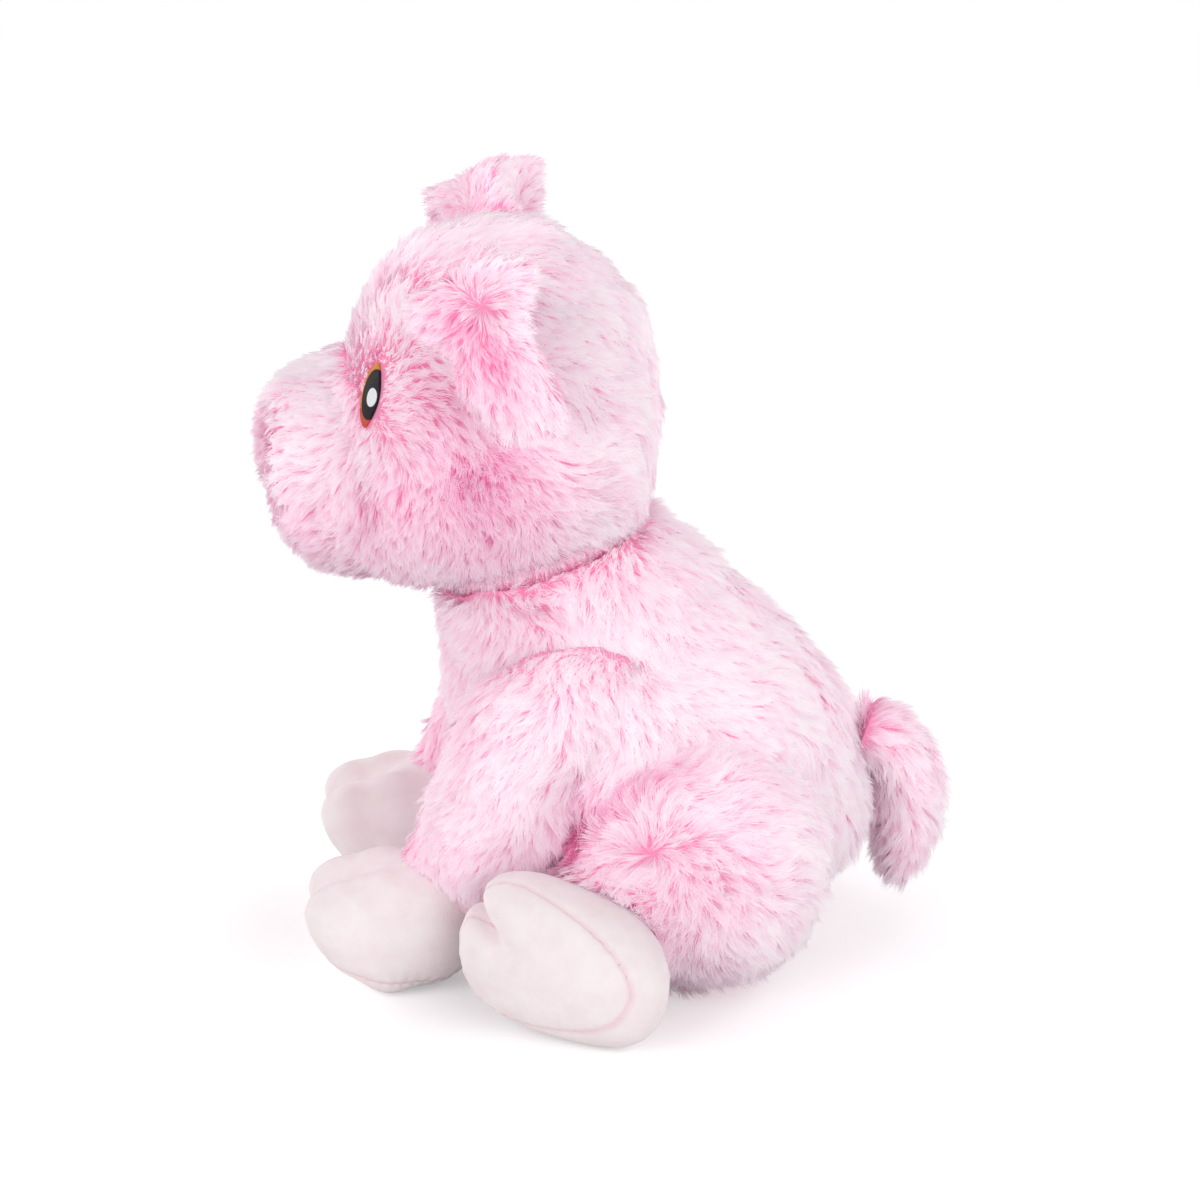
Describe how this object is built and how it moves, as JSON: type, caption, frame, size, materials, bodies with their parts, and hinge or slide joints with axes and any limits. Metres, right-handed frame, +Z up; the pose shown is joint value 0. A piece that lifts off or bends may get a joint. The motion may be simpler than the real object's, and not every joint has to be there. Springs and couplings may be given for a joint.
{
  "type": "plush pig",
  "caption": "Seated long-pile plush pig with a pellet seat, short snout, folded ears, velour hooves and a hanging tail.",
  "frame": {"origin": "on the floor under the middle of the seated pig", "axes": "+Z up, the snout towards -Y, the pig's left side towards +X"},
  "size_m": [0.2076, 0.2171, 0.2452],
  "materials": {
    "pink_pile": "long soft polyester pile with pale tips and deeper pink roots",
    "pale_velour": "short dense velour, matt",
    "fibre_fill": "loose polyester fibre",
    "pellet_pouch": "plain woven inner bag",
    "eye_thread": "satin-stitch embroidery",
    "nostril_thread": "satin-stitch embroidery"
  },
  "bodies": {
    "torso": {"body_cover": "pink_pile", "body_stuffing": "fibre_fill", "bean_pouch": "pellet_pouch"},
    "neck": {"neck_wad": "fibre_fill"},
    "head": {"head_cover": "pink_pile", "head_stuffing": "fibre_fill", "snout_tube": "pink_pile", "snout_disc": "pink_pile", "eye_left": "eye_thread", "eye_right": "eye_thread", "nostril_left": "nostril_thread", "nostril_right": "nostril_thread"},
    "ear_left": {"ear_outer_left": "pink_pile", "ear_lining_left": "pink_pile"},
    "ear_right": {"ear_outer_right": "pink_pile", "ear_lining_right": "pink_pile"},
    "front_leg_left": {"front_leg_sleeve_left": "pink_pile", "front_leg_hoof_upper_left": "pale_velour", "front_leg_hoof_sole_left": "pale_velour", "front_leg_stuffing_left": "fibre_fill"},
    "front_leg_right": {"front_leg_sleeve_right": "pink_pile", "front_leg_hoof_upper_right": "pale_velour", "front_leg_hoof_sole_right": "pale_velour", "front_leg_stuffing_right": "fibre_fill"},
    "hind_leg_left": {"hind_leg_sleeve_left": "pink_pile", "hind_leg_hoof_upper_left": "pale_velour", "hind_leg_hoof_sole_left": "pale_velour", "hind_leg_stuffing_left": "fibre_fill"},
    "hind_leg_right": {"hind_leg_sleeve_right": "pink_pile", "hind_leg_hoof_upper_right": "pale_velour", "hind_leg_hoof_sole_right": "pale_velour", "hind_leg_stuffing_right": "fibre_fill"},
    "tail": {"tail_cover": "pink_pile", "tail_stuffing": "fibre_fill"}
  },
  "joints": [
    {"name": "head_turn", "type": "hinge", "parent": "torso", "child": "neck", "pos_m": [0, -0.00617, 0.09181], "axis": [0, -0.2974, 0.9548], "range_deg": [-20, 20], "stiffness_Nm_per_rad": 3},
    {"name": "head_nod", "type": "hinge", "parent": "neck", "child": "head", "pos_m": [0, -0.00617, 0.09181], "axis": [1, 0, 0], "range_deg": [-8, 12], "stiffness_Nm_per_rad": 3},
    {"name": "ear_left_lift", "type": "hinge", "parent": "head", "child": "ear_left", "pos_m": [0.03531, -0.03438, 0.22599], "axis": [0, -1, 0], "range_deg": [-4, 35], "stiffness_Nm_per_rad": 0.05},
    {"name": "ear_right_lift", "type": "hinge", "parent": "head", "child": "ear_right", "pos_m": [-0.03531, -0.03438, 0.22599], "axis": [0, 1, 0], "range_deg": [-4, 35], "stiffness_Nm_per_rad": 0.05},
    {"name": "front_leg_left_swing", "type": "hinge", "parent": "torso", "child": "front_leg_left", "pos_m": [0.04129, -0.01204, 0.09503], "axis": [-1, 0, 0], "range_deg": [0, 18], "stiffness_Nm_per_rad": 1},
    {"name": "front_leg_right_swing", "type": "hinge", "parent": "torso", "child": "front_leg_right", "pos_m": [-0.04129, -0.01204, 0.09503], "axis": [-1, 0, 0], "range_deg": [0, 18], "stiffness_Nm_per_rad": 1},
    {"name": "hind_leg_left_lift", "type": "hinge", "parent": "torso", "child": "hind_leg_left", "pos_m": [0.04472, 0.0301, 0.042], "axis": [-0.9063, 0, 0.4226], "range_deg": [0, 12], "stiffness_Nm_per_rad": 1},
    {"name": "hind_leg_right_lift", "type": "hinge", "parent": "torso", "child": "hind_leg_right", "pos_m": [-0.04472, 0.0301, 0.042], "axis": [-0.9063, 0, -0.4226], "range_deg": [0, 12], "stiffness_Nm_per_rad": 1},
    {"name": "tail_lift", "type": "hinge", "parent": "torso", "child": "tail", "pos_m": [0, 0.08204, 0.06604], "axis": [1, 0, 0], "range_deg": [0, 30], "stiffness_Nm_per_rad": 0.05}
  ]
}
